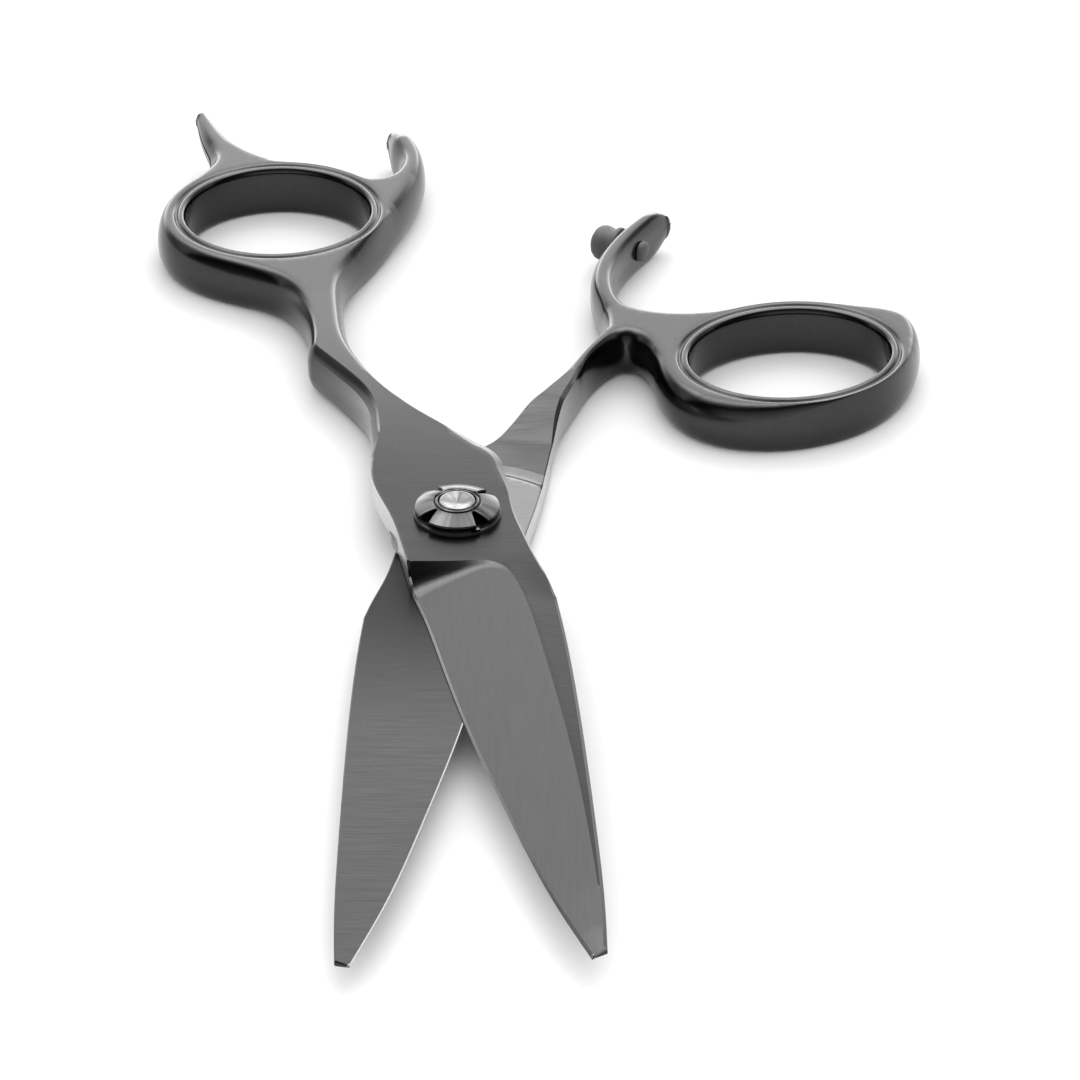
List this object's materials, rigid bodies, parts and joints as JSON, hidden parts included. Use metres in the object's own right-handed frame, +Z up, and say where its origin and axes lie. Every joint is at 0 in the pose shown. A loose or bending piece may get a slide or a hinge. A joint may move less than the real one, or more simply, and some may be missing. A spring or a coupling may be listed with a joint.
{
  "type": "hair cutting shears",
  "caption": "Hair cutting shears in dark satin steel: crossed blades on a clicking tension dial, offset finger rings, a finger rest and a rubber bumper between the spurs.",
  "frame": {"origin": "pivot axis at the flat bottom of the stud head, on the surface the shears lie on", "axes": "+Y from the pivot towards the finger rings and -Y towards the blade tips, +Z up through the tension dial, +X towards the thumb ring side"},
  "size_m": [0.0784, 0.1507, 0.007],
  "materials": {
    "dark_steel": "black titanium coated steel, satin, brushed on the blades",
    "polished_steel": "turned and polished",
    "dark_chrome": "polished dark chrome",
    "bronze": "plain bearing bronze",
    "grey_ptfe": "filled ptfe, matte",
    "black_nylon": "black nylon, matte",
    "rubber": "dark grey rubber, matte"
  },
  "bodies": {
    "finger_side": {"finger_half": "dark_steel", "pivot_bush": "bronze", "ride_washer": "grey_ptfe", "thrust_washer": "black_nylon"},
    "thumb_side": {"thumb_half": "dark_steel", "pivot_stud": "polished_steel", "click_plate": "polished_steel", "bumper": "rubber"},
    "dial": {"tension_dial": "dark_chrome", "click_spring": "polished_steel"}
  },
  "joints": [
    {"name": "blade_pivot", "type": "hinge", "parent": "finger_side", "child": "thumb_side", "pos_m": [0, 0, 0.003], "axis": [0, 0, -1], "range_deg": [-19.4, 90]},
    {"name": "dial_turn", "type": "hinge", "parent": "thumb_side", "child": "dial", "pos_m": [0, 0, 0.006], "axis": [0, 0, 1], "range_deg": [-120, 120]}
  ]
}
